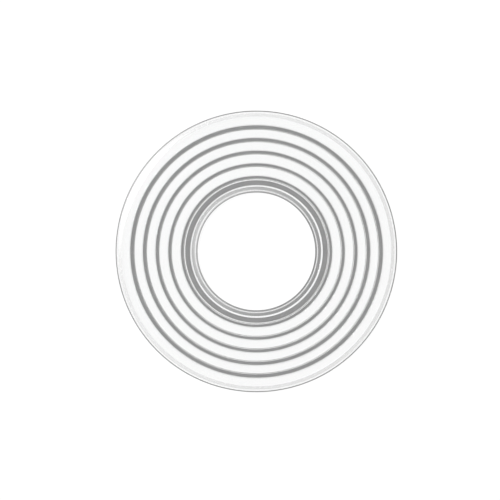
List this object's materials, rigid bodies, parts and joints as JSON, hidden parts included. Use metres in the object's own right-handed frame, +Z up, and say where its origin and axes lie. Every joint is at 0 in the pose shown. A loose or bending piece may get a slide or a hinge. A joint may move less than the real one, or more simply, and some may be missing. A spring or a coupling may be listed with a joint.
{
  "type": "nesting circle template",
  "caption": "Clear flat disc of nested circle-drawing rings with an open middle; each ring lifts out by its flange and has a grey rubber grip band underneath.",
  "frame": {"origin": "on the common axis of all rings, at the level of the paper they lie on", "axes": "+Z up along the axis of the rings, away from the paper; the set is round, so X and Y are any two directions across it"},
  "size_m": [0.222, 0.222, 0.0032],
  "materials": {
    "clear_acrylic": "polished clear faces with satin turned edges",
    "grip_rubber": "matte mid grey"
  },
  "bodies": {
    "frame": {"frame_ring": "clear_acrylic", "frame_grip_band": "grip_rubber"},
    "nest_200": {"ring_200": "clear_acrylic", "grip_band_200": "grip_rubber"},
    "nest_180": {"ring_180": "clear_acrylic", "grip_band_180": "grip_rubber"},
    "nest_160": {"ring_160": "clear_acrylic", "grip_band_160": "grip_rubber"},
    "nest_140": {"ring_140": "clear_acrylic", "grip_band_140": "grip_rubber"},
    "nest_120": {"ring_120": "clear_acrylic", "grip_band_120": "grip_rubber"}
  },
  "joints": [
    {"name": "lift_200", "type": "slide", "parent": "frame", "child": "nest_200", "axis": [0, 0, 1], "range_m": [0, 0.03]},
    {"name": "lift_180", "type": "slide", "parent": "nest_200", "child": "nest_180", "axis": [0, 0, 1], "range_m": [0, 0.03]},
    {"name": "lift_160", "type": "slide", "parent": "nest_180", "child": "nest_160", "axis": [0, 0, 1], "range_m": [0, 0.03]},
    {"name": "lift_140", "type": "slide", "parent": "nest_160", "child": "nest_140", "axis": [0, 0, 1], "range_m": [0, 0.03]},
    {"name": "lift_120", "type": "slide", "parent": "nest_140", "child": "nest_120", "axis": [0, 0, 1], "range_m": [0, 0.03]}
  ]
}
